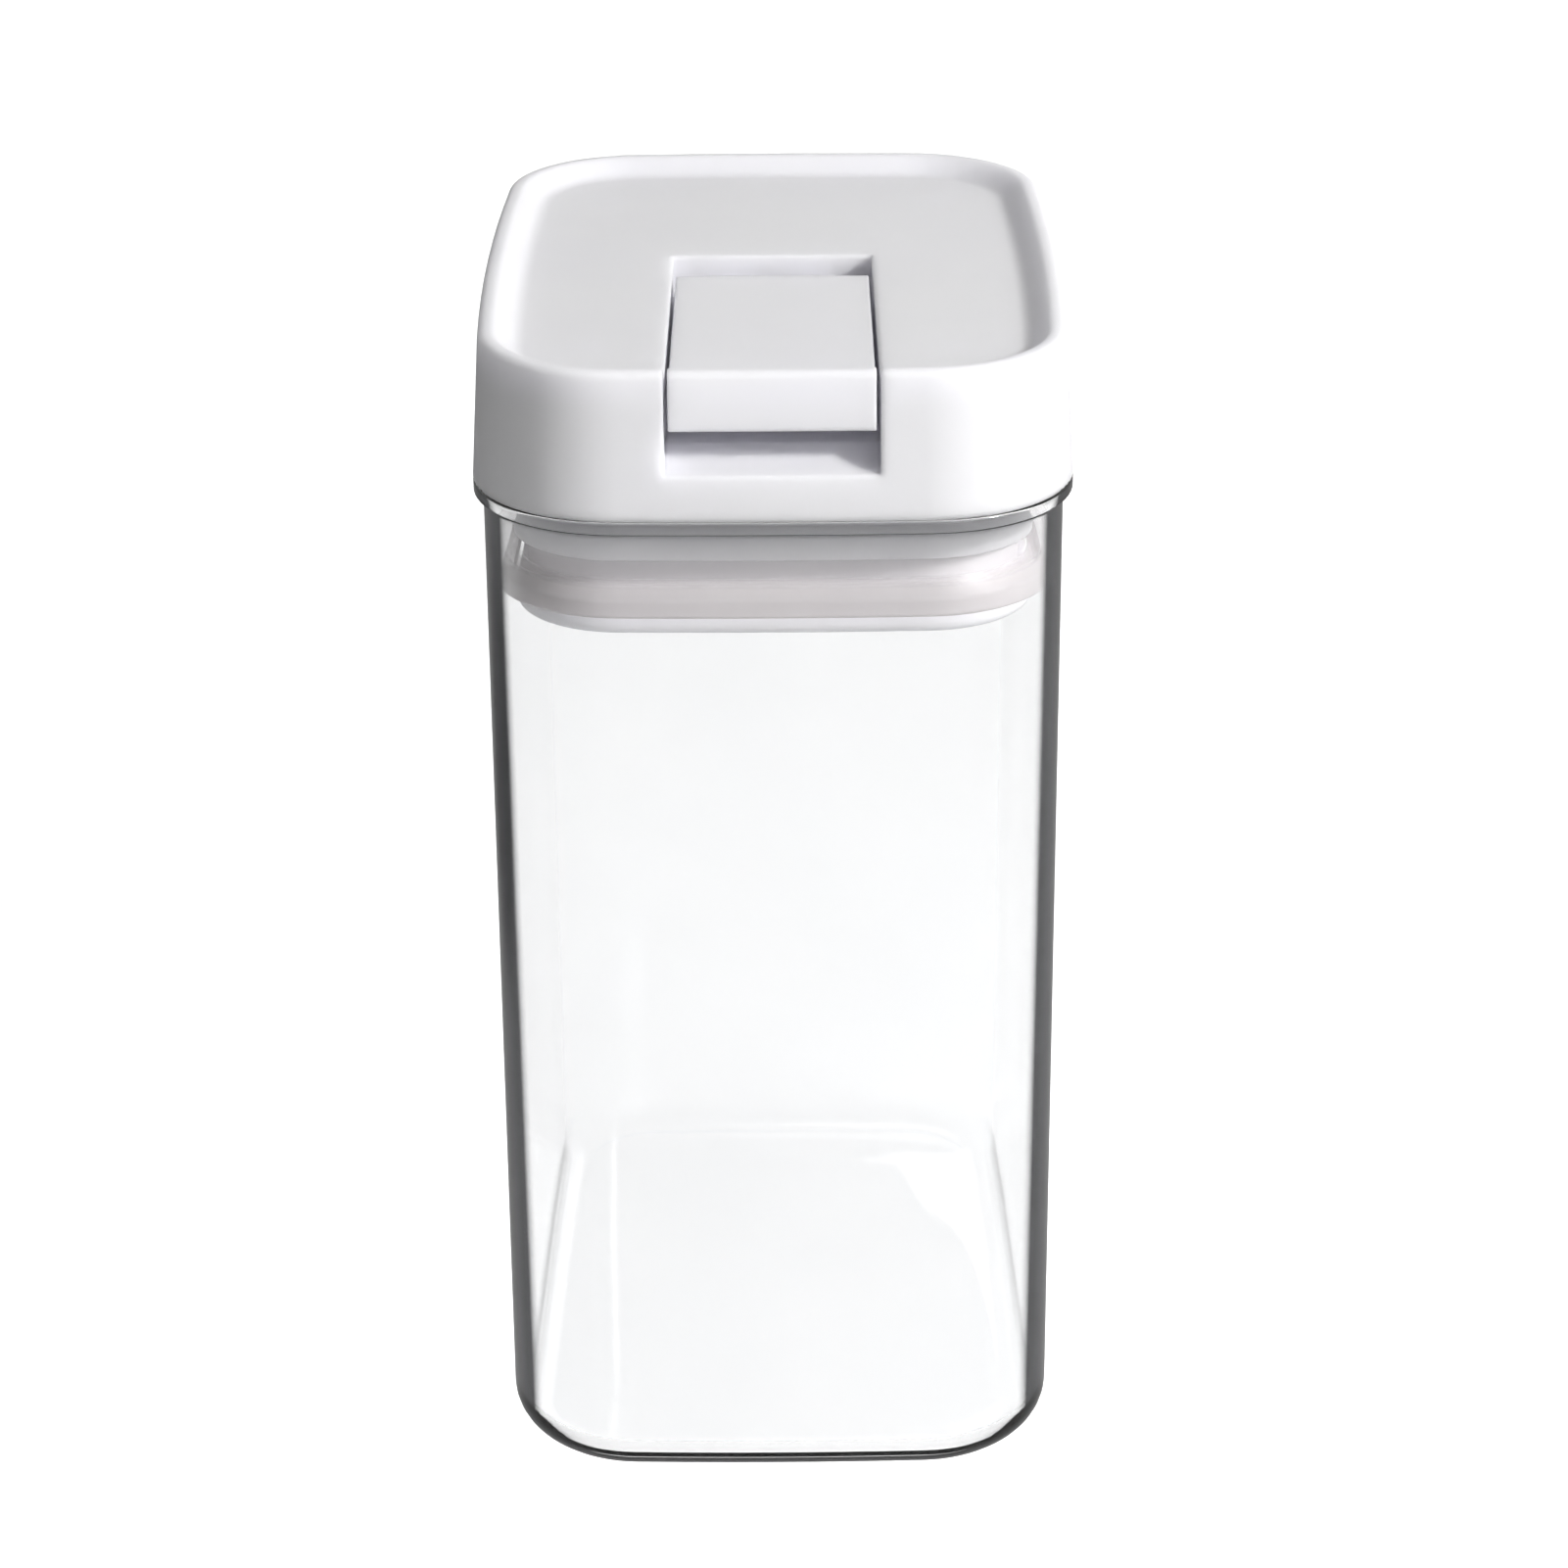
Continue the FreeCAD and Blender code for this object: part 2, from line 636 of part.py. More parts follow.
def pull_rod():
    body = new_body("pull_rod")
    shoulder_z = f"({WEAR_Z} - shoulder_gap)"
    rod = circles(body, "RodCircle", "XY_Plane", [("0", "0")], "rod_diameter / 2", HUB_TOP_Z)
    pad(body, "Rod", rod, f"{shoulder_z} - {HUB_TOP_Z}")
    root_z = f"{shoulder_z} - eye_radius / 2"
    shank = [("-eye_radius", root_z), ("eye_radius", root_z), ("eye_radius", PIN_Z), ("-eye_radius", PIN_Z)]
    pad(body, "EyeShank", polygon(body, "EyeShankProfile", "YZ_Plane", shank), EYE_WIDTH, both_ways=True)
    head = circles(body, "EyeCircle", "YZ_Plane", [("0", PIN_Z)], "eye_radius")
    pad(body, "EyeHead", head, EYE_WIDTH, both_ways=True)
    bore = circles(body, "EyeBoreCircle", "YZ_Plane", [("0", PIN_Z)], "pin_diameter / 2 + eye_fit")
    pocket(body, "EyeBore", bore, f"{EYE_WIDTH} + overrun", both_ways=True)
    thread_radius = "rod_screw_diameter / 2 + thread_fit"
    thread = circles(body, "RodThreadCircle", "XY_Plane", [("0", "0")], thread_radius, HUB_TOP_Z)
    pocket(body, "RodThread", thread, "rod_screw_bite + overrun", flip=True)
    return body


# Cam wear plate


def cam_wear_plate():
    body = new_body("cam_wear_plate")
    half = "(cam_width / 2 + wear_margin)"
    front = f"-({WELL_FRONT} - wear_gap)"
    back = f"{RECESS_BACK} - wear_gap"
    corners = [(half, front), (half, back), (f"-{half}", back), (f"-{half}", front)]
    pad(body, "WearSlab", polygon(body, "WearProfile", "XY_Plane", corners, WELL_Z), "wear_thickness")

    def upright(edge):
        return edge.BoundBox.ZLength > size("wear_thickness") / 2

    rounded(body, "WearCorners", "wear_corner", upright)
    hole_radius = "rod_diameter / 2 + rod_clearance"
    hole = circles(body, "WearHoleCircle", "XY_Plane", [("0", "0")], hole_radius, WEAR_Z)
    pocket(body, "WearHole", hole, "wear_thickness")
    return body


# Flip lever with its cam


def lever_corners():
    """Side view of the lever: a plate level with the dish that climbs the rim and turns down into a flap."""
    bend_y = f"({CAP_FRONT} - lever_setback)"
    crest_y = f"({CAP_FRONT} - rim_width)"
    flap_foot_y = f"({bend_y} + cap_lean * flap_drop / {CAP_HEIGHT})"
    flap_foot_z = f"{RIM_Z} - flap_drop"
    under_z = f"{LEVER_Z} - lever_thickness"
    return {
        "tail_top": ("-tail_setback", LEVER_Z),
        "rise": (f"-({crest_y} - dish_slope)", LEVER_Z),
        "crest": (f"-{crest_y}", RIM_Z),
        "bend": (f"-{bend_y}", RIM_Z),
        "flap_foot": (f"-{flap_foot_y}", flap_foot_z),
        "flap_heel": (f"-({flap_foot_y} - flap_thickness)", flap_foot_z),
        "inner_bend": (f"-({bend_y} - flap_thickness)", under_z),
        "tail_foot": ("-tail_setback", under_z),
    }


def cam_waste():
    """Side view of what is cut off the cam's top, down to a level inside the plate."""
    reach = "(cam_high * 2)"
    root_z = f"{LEVER_Z} - lever_thickness + cam_root"
    above = f"{RIM_Z} + overrun"
    return [(f"-{reach}", root_z), (reach, root_z), (reach, above), (f"-{reach}", above)]


def lever_brink(edge):
    """Tells the edges all round the lever's two sides."""
    return edge.BoundBox.XLength < NEARLY_ZERO and ends_aside(edge, "lever_width") < NEARLY_ZERO


def flip_lever():
    body = new_body("flip_lever")
    cam_centre = [(f"-{CAM_THROW}", f"{PIN_Z} - {CAM_THROW}")]
    cam = circles(body, "CamCircle", "YZ_Plane", cam_centre, f"{CAM_RADIUS} - cam_clearance")
    pad(body, "Cam", cam, "cam_width", both_ways=True)
    waste_profile = polygon(body, "CamWasteProfile", "YZ_Plane", cam_waste())
    pocket(body, "CamTrim", waste_profile, "cam_width + overrun", both_ways=True)
    corners = lever_corners()
    plate = polygon(body, "LeverProfile", "YZ_Plane", list(corners.values()))
    pad(body, "LeverPlate", plate, "lever_width", both_ways=True)
    slot_foot = f"{PIN_Z} - cam_high - overrun"
    slot_top = f"{PIN_Z} + {SLOT_HALF}"
    slot_front = f"-{SLOT_HALF}"
    slot_back = "cam_low + overrun"
    slot = [(slot_front, slot_foot), (slot_back, slot_foot), (slot_back, slot_top), (slot_front, slot_top)]
    slot_profile = polygon(body, "EyeSlotProfile", "YZ_Plane", slot)
    pocket(body, "EyeSlot", slot_profile, f"{EYE_WIDTH} + 2 * eye_clearance", both_ways=True)
    bore = circles(body, "PinBoreCircle", "YZ_Plane", [("0", PIN_Z)], "pin_diameter / 2 + pin_fit")
    pocket(body, "PinBore", bore, "lever_width + overrun", both_ways=True)
    rounded(body, "RiseRound", "rise_round", along_x(*corners["rise"]))
    rounded(body, "CrestRound", "crest_round", along_x(*corners["crest"]))
    rounded(body, "BendRound", "bend_round", along_x(*corners["bend"]))
    rounded(body, "TailRound", "tail_round", along_x(*corners["tail_top"]))
    rounded(body, "LipRound", "lip_round", along_x(*corners["flap_foot"]))
    rounded(body, "LeverRound", "lever_round", lever_brink)
    return body


def lever_pin():
    rod = doc.addObject("Part::Cylinder", "LeverPinRod")
    bind(rod, "Radius", "pin_diameter / 2")
    bind(rod, "Height", "cam_width - 2 * pin_end_gap")
    rod.Placement = FreeCAD.Placement(FreeCAD.Vector(), FreeCAD.Rotation(FreeCAD.Vector(0, 1, 0), 90))
    bind(rod, "Placement.Base.x", "pin_end_gap - cam_width / 2")
    bind(rod, "Placement.Base.z", PIN_Z)
    doc.recompute()
    pin = doc.addObject("Part::Chamfer", "lever_pin")
    pin.Base = rod
    ends = [number for number, edge in enumerate(rod.Shape.Edges, start=1) if edge.isClosed()]
    pin.Edges = [(number, size("pin_chamfer"), size("pin_chamfer")) for number in ends]
    return pin


# Screws, washer and cover


def crossed_slots(name, width, length, depth, base):
    """Two crossed bars that cut a driver recess up into a screw's head."""
    bars = []
    for turn, (across, along) in (("Across", (length, width)), ("Along", (width, length))):
        bar = doc.addObject("Part::Box", f"{name}{turn}")
        bind(bar, "Length", across)
        bind(bar, "Width", along)
        bind(bar, "Height", depth)
        bind(bar, "Placement.Base.x", f"-({across}) / 2")
        bind(bar, "Placement.Base.y", f"-({along}) / 2")
        bind(bar, "Placement.Base.z", base)
        bars.append(bar)
    return combined("Fuse", f"{name}Cross", *bars)


def screw(name, diameter, bite, head, head_height, seat):
    """Pan-head screw that points up, its head against the underside of a seat."""
    base = f"{seat} - {head_height}"
    top = cylinder(f"{name}Head", f"{head} / 2", head_height, base)
    shank = cylinder(f"{name}Shank", f"{diameter} / 2", bite, seat)
    blank = combined("Fuse", f"{name}Blank", top, shank)
    recess = crossed_slots(name, "driver_slot_width", f"{head} / 2", "driver_slot_depth", base)
    return combined("Cut", name, blank, recess)


def rod_washer():
    base = f"{POCKET_ROOF_Z} - washer_thickness"
    ring = cylinder("WasherDisc", "washer_diameter / 2", "washer_thickness", base)
    hole_radius = "rod_screw_diameter / 2 + screw_clearance"
    hole = cylinder("WasherHole", hole_radius, "washer_thickness", base)
    return combined("Cut", "rod_washer", ring, hole)


def rod_screw():
    seat = f"{POCKET_ROOF_Z} - washer_thickness"
    bite = f"{HUB_TOP_Z} + rod_screw_bite - {POCKET_ROOF_Z} + washer_thickness"
    return screw("rod_screw", "rod_screw_diameter", bite, "rod_screw_head", "rod_screw_head_height", seat)


def screw_cover():
    body = new_body("screw_cover")
    radius = f"{POCKET_RADIUS} - cover_fit"
    disc = circles(body, "CoverCircle", "XY_Plane", [("0", "0")], radius, PLATE_BASE_Z)
    pad(body, "CoverDisc", disc, "cover_thickness")
    rounded(body, "CoverRound", "cover_round", at_level(PLATE_BASE_Z))
    return body


def lid_screws():
    """The four screws that hold the inner lid to the cap's bosses."""
    bite = "plug_roof + lid_screw_bite"
    screws = []
    for number, (across, along) in enumerate(screw_places(), start=1):
        name = f"LidScrew{number}"
        one = screw(name, "lid_screw_diameter", bite, "lid_screw_head", "lid_screw_head_height", PLUG_ROOF_Z)
        bind(one, "Placement.Base.x", across)
        bind(one, "Placement.Base.y", along)
        screws.append(one)
    group = doc.addObject("Part::Compound", "lid_screws")
    group.Links = screws
    return group


pieces = [
    canister(),
    lid_cap(),
    inner_lid(),
    rod_ring(),
    gasket(),
    seal_plate(),
    pull_rod(),
    cam_wear_plate(),
    flip_lever(),
    lever_pin(),
    rod_washer(),
    rod_screw(),
    screw_cover(),
    lid_screws(),
]
doc.recompute()

# Nothing is written unless every object and every solid came out sound
for thing in doc.Objects:
    if "Invalid" in thing.State or "Error" in thing.State:
        raise RuntimeError(f"{thing.Label} did not build: {thing.State}")
for piece in pieces:
    if piece.Shape.isNull() or not piece.Shape.isValid():
        raise RuntimeError(f"{piece.Label} has no sound shape")

for piece in pieces:
    piece.Label = piece.Name
    piece.Shape.exportStep(f"parts/{piece.Label}.step")
    box = piece.Shape.BoundBox
    print(
        f"{piece.Label}: {len(piece.Shape.Solids)} solids, {piece.Shape.Volume:.1f} mm3,"
        f" x {box.XMin:.2f}..{box.XMax:.2f} y {box.YMin:.2f}..{box.YMax:.2f} z {box.ZMin:.2f}..{box.ZMax:.2f}"
    )
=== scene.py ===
"""Looks of the flip-lever kitchen keeper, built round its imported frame. Lengths are in metres."""
import math

import bpy
from mathutils import Matrix, Vector


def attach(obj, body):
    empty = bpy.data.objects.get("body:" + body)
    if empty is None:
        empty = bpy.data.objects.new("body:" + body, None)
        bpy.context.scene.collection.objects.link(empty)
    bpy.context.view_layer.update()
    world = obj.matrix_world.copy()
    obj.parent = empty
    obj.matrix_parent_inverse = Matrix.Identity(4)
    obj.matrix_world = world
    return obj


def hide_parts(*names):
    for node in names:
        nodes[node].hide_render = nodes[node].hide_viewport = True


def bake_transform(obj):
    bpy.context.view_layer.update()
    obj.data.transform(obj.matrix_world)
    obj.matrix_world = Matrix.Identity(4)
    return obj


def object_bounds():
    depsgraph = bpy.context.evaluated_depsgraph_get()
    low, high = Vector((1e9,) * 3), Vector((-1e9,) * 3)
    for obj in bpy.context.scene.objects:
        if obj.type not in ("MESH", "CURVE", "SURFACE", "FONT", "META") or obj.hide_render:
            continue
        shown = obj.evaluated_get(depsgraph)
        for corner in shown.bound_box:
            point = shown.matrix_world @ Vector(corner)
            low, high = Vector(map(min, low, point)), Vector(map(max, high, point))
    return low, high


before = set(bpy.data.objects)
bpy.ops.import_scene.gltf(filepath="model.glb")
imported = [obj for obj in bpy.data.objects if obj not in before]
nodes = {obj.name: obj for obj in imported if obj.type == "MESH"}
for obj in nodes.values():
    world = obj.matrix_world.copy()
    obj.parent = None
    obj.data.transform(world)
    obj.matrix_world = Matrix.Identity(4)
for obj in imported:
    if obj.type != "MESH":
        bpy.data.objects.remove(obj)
cad_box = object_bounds()

MM = 0.001
HAIR = 0.005 * MM


# The keeper's outline, a rounded rectangle with gently bowed sides

HALF_WIDTH = cad_box[1][0] - HAIR
HALF_DEPTH = cad_box[1][1] - HAIR
CORNER_RADIUS = 25.0 * MM
SIDE_BOW = 900.0 * MM
FRONT_BOW = 800.0 * MM
SIDE_STEPS, CORNER_STEPS, FRONT_STEPS = 22, 18, 18

# The clear shell, in millimetres: insets from the outline, heights and edge radii
FLOOR_RIM_INSET, FLOOR_TOP = 22.0, 3.4
FOOT_INSET, FOOT_ROUND = 1.9, 7.6
NECK_INSET, NECK_ROUND = 1.6, 1.4
FLANGE_UNDER, FLANGE_TOP, FLANGE_ROUND = 178.8, 181.0, 0.5
MOUTH_INSET, BORE_FOOT_INSET, BORE_FOOT_ROUND = 3.8, 4.09, 5.4

# The gasket, in millimetres: its foot sits on the seal plate and its flange under the inner lid
GASKET_FOOT, GASKET_LIP, GASKET_TOP = 163.02, 166.2, 172.38
LIP_INSET, LIP_BACK_INSET, FLARE_INSET, COLLAR_INSET = 4.12, 6.1, 6.55, 8.58
MILKY_UP_TO, CLEARER_FROM = 168.0, 169.2


def corner_centre():
    """Where a corner's arc is centred, so that it runs smoothly into the bowed side and front."""
    side_x = HALF_WIDTH - SIDE_BOW
    front_y = HALF_DEPTH - FRONT_BOW
    side_reach = SIDE_BOW - CORNER_RADIUS
    front_reach = FRONT_BOW - CORNER_RADIUS
    apart = math.hypot(side_x, front_y)
    along = (apart**2 + side_reach**2 - front_reach**2) / (2 * apart)
    aside = math.sqrt(side_reach**2 - along**2)
    x = side_x - (along * side_x + aside * front_y) / apart
    y = (along * front_y - aside * side_x) / apart
    return x, y


def outline(inset):
    """Points of the outline, anticlockwise from the right, set in all round."""
    corner_x, corner_y = corner_centre()
    side_x = HALF_WIDTH - SIDE_BOW
    back_y = HALF_DEPTH - FRONT_BOW
    side_turn = math.atan2(corner_y, corner_x - side_x)
    back_turn = math.atan2(corner_y - back_y, corner_x)
    half = math.pi
    arcs = (
        (side_x, 0, SIDE_BOW, -side_turn, side_turn, SIDE_STEPS),
        (corner_x, corner_y, CORNER_RADIUS, side_turn, back_turn, CORNER_STEPS),
        (0, back_y, FRONT_BOW, back_turn, half - back_turn, FRONT_STEPS),
        (-corner_x, corner_y, CORNER_RADIUS, half - back_turn, half - side_turn, CORNER_STEPS),
        (-side_x, 0, SIDE_BOW, half - side_turn, half + side_turn, SIDE_STEPS),
        (-corner_x, -corner_y, CORNER_RADIUS, half + side_turn, half + back_turn, CORNER_STEPS),
        (0, -back_y, FRONT_BOW, half + back_turn, 2 * half - back_turn, FRONT_STEPS),
        (corner_x, -corner_y, CORNER_RADIUS, 2 * half - back_turn, 2 * half - side_turn, CORNER_STEPS),
    )
    points = []
    for x, y, radius, start, end, steps in arcs:
        for step in range(steps):
            angle = start + (end - start) * step / steps
            points.append((x + (radius - inset) * math.cos(angle), y + (radius - inset) * math.sin(angle)))
    return points


def eased(corners, closed, steps=8):
    """A section whose corners, each an inset, a height and a radius in millimetres, are rounded by arcs."""
    section = []
    count = len(corners)
    for index, (inset, height, radius) in enumerate(corners):
        here = Vector((inset, height)) * MM
        if radius == 0 or (not closed and index in (0, count - 1)):
            section.append(here)
            continue
        before = (Vector(corners[index - 1][:2]) * MM - here).normalized()
        after = (Vector(corners[(index + 1) % count][:2]) * MM - here).normalized()
        half = before.angle(after) / 2
        centre = here + (before + after).normalized() * (radius * MM / math.sin(half))
        first = here + before * (radius * MM / math.tan(half)) - centre
        last = here + after * (radius * MM / math.tan(half)) - centre
        sweep = first.angle_signed(last)
        for step in range(steps + 1):
            turn = -sweep * step / steps
            spoke = Vector((
                first.x * math.cos(turn) - first.y * math.sin(turn),
                first.x * math.sin(turn) + first.y * math.cos(turn),
            ))
            section.append(centre + spoke)
    return section


def ring_shell(name, section, closed):
    """A skin that carries a section round the outline; an open section is closed at both ends by a flat."""
    vertices = [(x, y, height) for inset, height in section for x, y in outline(inset)]
    around = len(outline(0))
    rings = len(section)
    faces = []
    for ring in range(rings if closed else rings - 1):
        low, high = ring * around, (ring + 1) % rings * around
        for step in range(around):
            beside = (step + 1) % around
            faces.append((low + step, low + beside, high + beside, high + step))
    if not closed:
        faces.append(tuple(reversed(range(around))))
        faces.append(tuple(range((rings - 1) * around, rings * around)))
    mesh = bpy.data.meshes.new(name)
    mesh.from_pydata(vertices, [], faces)
    mesh.validate()
    mesh.shade_smooth()
    piece = bpy.data.objects.new(name, mesh)
    bpy.context.scene.collection.objects.link(piece)
    return piece


def dress(piece, material):
    piece.data.materials.clear()
    piece.data.materials.append(material)


# Shader groups shared by the finishes


def new_group(name, inputs, outputs):
    """An empty shader group with float inputs and outputs, ready for its nodes."""
    group = bpy.data.node_groups.new(name, "ShaderNodeTree")
    for label, value in inputs:
        socket = group.interface.new_socket(label, in_out="INPUT", socket_type="NodeSocketFloat")
        socket.default_value = value
    for label in outputs:
        group.interface.new_socket(label, in_out="OUTPUT", socket_type="NodeSocketFloat")
    start = group.nodes.new("NodeGroupInput")
    end = group.nodes.new("NodeGroupOutput")
    return group, start, end


def put(tree, kind, values=(), **settings):
    """A node in a tree, with its settings and the values of its sockets."""
    node = tree.nodes.new(kind)
    for name, value in settings.items():
        setattr(node, name, value)
    for socket, value in dict(values).items():
        if isinstance(value, bpy.types.NodeSocket):
            tree.links.new(value, node.inputs[socket])
        else:
            node.inputs[socket].default_value = value
    return node


def moulded_grain():
    """Fine moulded grain as a height, and slow unevenness of tone and gloss from the mould."""
    group, start, end = new_group(
        "moulded_grain",
        (("Grain Scale", 2600.0), ("Cloud Scale", 28.0), ("Low", 0.96), ("High", 1.0)),
        ("Height", "Tone"),
    )
    place = put(group, "ShaderNodeTexCoord").outputs["Object"]
    grain = put(group, "ShaderNodeTexNoise", {
        "Vector": place, "Scale": start.outputs["Grain Scale"], "Detail": 3.0,
    })
    cloud = put(group, "ShaderNodeTexNoise", {
        "Vector": place, "Scale": start.outputs["Cloud Scale"], "Detail": 4.0,
    })
    tone = put(group, "ShaderNodeMapRange", {
        "Value": cloud.outputs["Fac"], "From Min": 0.3, "From Max": 0.7,
        "To Min": start.outputs["Low"], "To Max": start.outputs["High"],
    })
    group.links.new(grain.outputs["Fac"], end.inputs["Height"])
    group.links.new(tone.outputs["Result"], end.inputs["Tone"])
    return group


GRAIN = moulded_grain()


def new_material(name):
    material = bpy.data.materials.new(name)
    material.use_nodes = True
    tree = material.node_tree
    tree.nodes.clear()
    shader = put(tree, "ShaderNodeBsdfPrincipled")
    out = put(tree, "ShaderNodeOutputMaterial")
    tree.links.new(shader.outputs["BSDF"], out.inputs["Surface"])
    return material, tree, shader, out


def tinted(tree, value, colour_low, colour_high):
    """A colour that runs between two tints with a value from 0 to 1."""
    mix = put(tree, "ShaderNodeMix", data_type="RGBA")
    tree.links.new(value, mix.inputs["Factor"])
    mix.inputs["A"].default_value = (*colour_low, 1.0)
    mix.inputs["B"].default_value = (*colour_high, 1.0)
    return mix.outputs["Result"]


LIGHT_DEPTH = 4.0 * MM
SATIN_DEPTH = 0.03 * MM


def satin_plastic(name, low, high, gloss, grain_scale, edge_radius):
    """Moulded plastic with a fine satin grain and softened edges, which light enters by a few millimetres."""
    material, tree, shader, _ = new_material(name)
    grain = put(tree, "ShaderNodeGroup", node_tree=GRAIN)
    grain.inputs["Grain Scale"].default_value = grain_scale
    grain.inputs["Low"].default_value = 0.0
    tree.links.new(tinted(tree, grain.outputs["Tone"], low, high), shader.inputs["Base Color"])
    rough = put(tree, "ShaderNodeMapRange", {
        "Value": grain.outputs["Tone"], "To Min": gloss + 0.04, "To Max": gloss - 0.03,
    })
    tree.links.new(rough.outputs["Result"], shader.inputs["Roughness"])
    shader.inputs["Subsurface Weight"].default_value = 1.0
    shader.inputs["Subsurface Radius"].default_value = (1.0, 1.0, 1.0)
    shader.inputs["Subsurface Scale"].default_value = LIGHT_DEPTH
    eased_edge = put(tree, "ShaderNodeBevel", {"Radius": edge_radius}, samples=8)
    bump = put(tree, "ShaderNodeBump", {
        "Strength": 0.25, "Distance": SATIN_DEPTH,
        "Height": grain.outputs["Height"], "Normal": eased_edge.outputs["Normal"],
    })
    tree.links.new(bump.outputs["Normal"], shader.inputs["Normal"])
    return material


def clear_plastic():
    """Polished clear moulding, its base colour painted near-black as a painted shade where its rounded outer
    edges turn away from view, and dim through the thick flange.
    """
    material, tree, shader, out = new_material("clear_moulding")
    grain = put(tree, "ShaderNodeGroup", node_tree=GRAIN)
    grain.inputs["Grain Scale"].default_value = 60.0
    grain.inputs["Cloud Scale"].default_value = 45.0
    grain.inputs["Low"].default_value = 0.0
    coords = put(tree, "ShaderNodeTexCoord")
    place = put(tree, "ShaderNodeSeparateXYZ", {"Vector": coords.outputs["Object"]})
    level = put(tree, "ShaderNodeCombineXYZ", {"X": place.outputs["X"], "Y": place.outputs["Y"]})
    outward = put(tree, "ShaderNodeVectorMath", {
        0: level.outputs["Vector"], 1: coords.outputs["Normal"],
    }, operation="DOT_PRODUCT")
    outside = put(tree, "ShaderNodeMath", {0: outward.outputs["Value"], 1: 0.004}, operation="GREATER_THAN")
    slope = put(tree, "ShaderNodeSeparateXYZ", {"Vector": coords.outputs["Normal"]})
    across = put(tree, "ShaderNodeMath", {0: slope.outputs["X"]}, operation="ABSOLUTE")
    along = put(tree, "ShaderNodeMath", {0: slope.outputs["Y"]}, operation="ABSOLUTE")
    square = put(tree, "ShaderNodeMath", {
        0: across.outputs["Value"], 1: along.outputs["Value"],
    }, operation="MAXIMUM")
    rounded = put(tree, "ShaderNodeMapRange", {
        "Value": square.outputs["Value"], "From Min": 0.999, "From Max": 0.988,
        "To Max": outside.outputs["Value"],
    })
    # Painted shade: the base colour turns near-black on the rounded outer edges as they turn away from view,
    # standing in for the dark edges of a clear wall.
    facing = put(tree, "ShaderNodeLayerWeight", {"Blend": 0.5}).outputs["Facing"]
    painted_edge_mask = put(tree, "ShaderNodeMapRange", {
        "Value": facing, "From Min": 0.50, "From Max": 0.60, "To Max": rounded.outputs["Result"],
    }, interpolation_type="SMOOTHSTEP")
    clear = tinted(tree, grain.outputs["Tone"], (0.972, 0.976, 0.98), (0.985, 0.987, 0.99))
    painted_dark_edges = put(tree, "ShaderNodeMix", {"Factor": painted_edge_mask.outputs["Result"]}, data_type="RGBA")
    tree.links.new(clear, painted_dark_edges.inputs["A"])
    painted_dark_edges.inputs["B"].default_value = (0.004, 0.004, 0.0045, 1.0)
    tree.links.new(painted_dark_edges.outputs["Result"], shader.inputs["Base Color"])
    rough = put(tree, "ShaderNodeMapRange", {"Value": grain.outputs["Tone"], "To Min": 0.0, "To Max": 0.012})
    tree.links.new(rough.outputs["Result"], shader.inputs["Roughness"])
    shader.inputs["IOR"].default_value = 1.5
    shader.inputs["Transmission Weight"].default_value = 1.0
    bump = put(tree, "ShaderNodeBump", {
        "Strength": 0.02, "Distance": 0.2 * MM, "Height": grain.outputs["Height"],
    })
    tree.links.new(bump.outputs["Normal"], shader.inputs["Normal"])
    path = put(tree, "ShaderNodeLightPath")
    passing = put(tree, "ShaderNodeMath", {
        0: path.outputs["Is Shadow Ray"], 1: path.outputs["Is Diffuse Ray"],
    }, operation="MAXIMUM")
    dimming = put(tree, "ShaderNodeMapRange", {
        "Value": place.outputs["Z"],
        "From Min": (FLANGE_UNDER - 3.8) * MM, "From Max": (FLANGE_UNDER - 0.2) * MM,
        "To Min": 0.99, "To Max": 0.10,
    })
    through = put(tree, "ShaderNodeBsdfTransparent", {"Color": dimming.outputs["Result"]})
    mix = put(tree, "ShaderNodeMixShader", {"Fac": passing.outputs["Value"]})
    tree.links.new(shader.outputs["BSDF"], mix.inputs[1])
    tree.links.new(through.outputs["BSDF"], mix.inputs[2])
    tree.links.new(mix.outputs["Shader"], out.inputs["Surface"])
    return material


def milky_silicone():
    """Translucent silicone, milkier towards the thick lip."""
    material, tree, shader, out = new_material("milky_silicone_skirt")
    grain = put(tree, "ShaderNodeGroup", node_tree=GRAIN)
    grain.inputs["Grain Scale"].default_value = 1400.0
    grain.inputs["Low"].default_value = 0.0
    milky = tinted(tree, grain.outputs["Tone"], (0.58, 0.55, 0.56), (0.63, 0.60, 0.605))
    tree.links.new(milky, shader.inputs["Base Color"])
    place = put(tree, "ShaderNodeTexCoord").outputs["Object"]
    height = put(tree, "ShaderNodeSeparateXYZ", {"Vector": place}).outputs["Z"]
    milk = put(tree, "ShaderNodeMapRange", {
        "Value": height, "From Min": MILKY_UP_TO * MM, "From Max": CLEARER_FROM * MM,
        "To Min": 0.78, "To Max": 0.14,
    })
    tree.links.new(milk.outputs["Result"], shader.inputs["Alpha"])
    shader.inputs["Roughness"].default_value = 0.38
    bump = put(tree, "ShaderNodeBump", {
        "Strength": 0.15, "Distance": 0.04 * MM, "Height": grain.outputs["Height"],
    })
    tree.links.new(bump.outputs["Normal"], shader.inputs["Normal"])
    path = put(tree, "ShaderNodeLightPath")
    passing = put(tree, "ShaderNodeMath", {0: path.outputs["Is Shadow Ray"], 1: 0.92}, operation="MULTIPLY")
    through = put(tree, "ShaderNodeBsdfTransparent", {"Color": (0.95, 0.94, 0.94, 1.0)})
    mix = put(tree, "ShaderNodeMixShader", {"Fac": passing.outputs["Value"]})
    tree.links.new(shader.outputs["BSDF"], mix.inputs[1])
    tree.links.new(through.outputs["BSDF"], mix.inputs[2])
    tree.links.new(mix.outputs["Shader"], out.inputs["Surface"])
    return material


